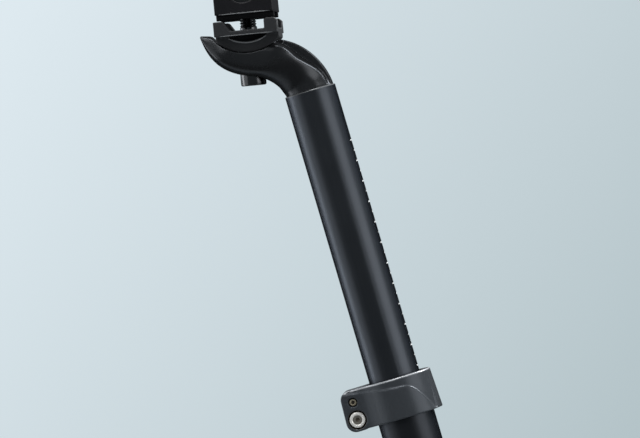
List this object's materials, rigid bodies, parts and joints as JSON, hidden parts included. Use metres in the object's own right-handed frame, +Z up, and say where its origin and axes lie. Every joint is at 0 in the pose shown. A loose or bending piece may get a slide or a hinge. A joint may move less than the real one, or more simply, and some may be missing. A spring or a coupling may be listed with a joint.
{
  "type": "suspension seatpost",
  "caption": "Telescopic bicycle seatpost with a forged set-back head, a rocking one-bolt saddle clamp and a split collar.",
  "frame": {"origin": "on the post axis, level with the end of the frame's seat tube inside the collar", "axes": "+Z up the post axis, +X forward on the bicycle, +Y to the rider's left"},
  "size_m": [0.0589, 0.057, 0.3868],
  "materials": {
    "outer_tube": "matte black",
    "bush": "plain",
    "rubber": "matte",
    "dark_trim": "black anodised",
    "brass": "plain",
    "bare_alloy": "turned",
    "spring_steel": "oiled",
    "elastomer": "matte",
    "matte_tube": "matte black",
    "gloss_black": "polished black",
    "collar_grey": "matte grey",
    "bright_steel": "bright",
    "dark_steel": "blackened",
    "cradle_grey": "matte dark grey",
    "satin_black": "satin black"
  },
  "bodies": {
    "outer": {"lower_tube": "outer_tube", "guide_bush": "bush", "wiper_seal": "rubber", "seal_cap": "dark_trim", "guide_pin_left": "brass", "guide_pin_right": "brass", "bottom_ring": "bare_alloy", "main_spring": "spring_steel"},
    "preload": {"spring_plate": "bare_alloy", "bump_stop": "elastomer"},
    "plug": {"preload_plug": "bare_alloy", "plug_o_ring": "rubber"},
    "post": {"shaft_tube": "matte_tube", "seat_head": "gloss_black", "lower_bush": "bush", "top_out_ring": "rubber", "foot_plug": "bare_alloy"},
    "collar": {"seat_collar": "collar_grey", "collar_bolt": "bright_steel", "collar_nut": "bright_steel", "lip_screw": "dark_steel"},
    "cradle": {"rocker": "cradle_grey", "slot_washer": "bare_alloy"},
    "bolt": {"clamp_bolt": "dark_steel"},
    "jaw": {"upper_clamp": "satin_black", "barrel_nut": "dark_steel"}
  },
  "joints": [
    {"name": "suspension_travel", "type": "slide", "parent": "outer", "child": "post", "axis": [0, 0, 1], "range_m": [-0.04, 0], "stiffness_N_per_m": 21800, "springref_m": 0.011, "deforming": ["main_spring"]},
    {"name": "preload_lift", "type": "slide", "parent": "outer", "child": "preload", "axis": [0, 0, 1], "range_m": [0, 0.0075]},
    {"name": "preload_turn", "type": "hinge", "parent": "preload", "child": "plug", "pos_m": [0, 0, -0.165], "axis": [0, 0, 1], "range_deg": [0, 1800]},
    {"name": "height_setting", "type": "slide", "parent": "outer", "child": "collar", "axis": [0, 0, 1], "range_m": [-0.05, 0]},
    {"name": "saddle_tilt", "type": "hinge", "parent": "post", "child": "cradle", "pos_m": [-0.0175, 0, 0.1943], "axis": [0, 1, 0], "range_deg": [-10, 10]},
    {"name": "bolt_turn", "type": "hinge", "parent": "cradle", "child": "bolt", "pos_m": [-0.0175, 0, 0.1943], "axis": [0.1908, 0, 0.9816], "range_deg": [0, 1440]},
    {"name": "jaw_lift", "type": "slide", "parent": "cradle", "child": "jaw", "axis": [0.1908, 0, 0.9816], "range_m": [0, 0.005]}
  ],
  "couplings": [
    {"joint": "preload_turn", "follows": "preload_lift", "rad_per_m": 4188.8},
    {"joint": "bolt_turn", "follows": "jaw_lift", "rad_per_m": 5026.5}
  ]
}
